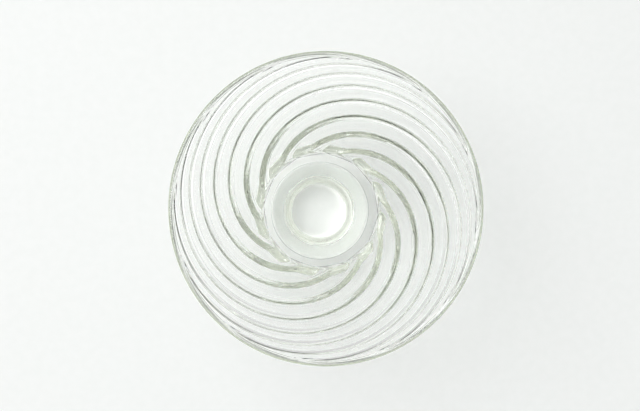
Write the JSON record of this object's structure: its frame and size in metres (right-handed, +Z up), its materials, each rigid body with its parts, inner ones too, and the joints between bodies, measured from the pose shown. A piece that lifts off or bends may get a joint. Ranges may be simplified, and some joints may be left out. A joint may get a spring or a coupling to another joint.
{
  "type": "pour-over dripper",
  "caption": "Clear glass pour-over coffee cone with spiral ribs inside, standing on a small clear foot ring with a silicone seal.",
  "frame": {"origin": "on the cone's axis, on the surface that the foot stands on", "axes": "+Z up along the cone's axis, +X at 5 degrees before the inner end of the first rib"},
  "size_m": [0.116, 0.116, 0.086],
  "materials": {
    "glass": "clear pressed glass with a faint green tint",
    "seal": "milky translucent silicone",
    "collar": "clear, slightly frosted"
  },
  "bodies": {
    "foot": {"foot_collar": "collar", "neck_seal": "seal"},
    "cone": {"glass_cone": "glass"}
  },
  "joints": [
    {"name": "cone_lift", "type": "slide", "parent": "foot", "child": "cone", "axis": [0, 0, 1], "range_m": [0, 0.03]}
  ]
}
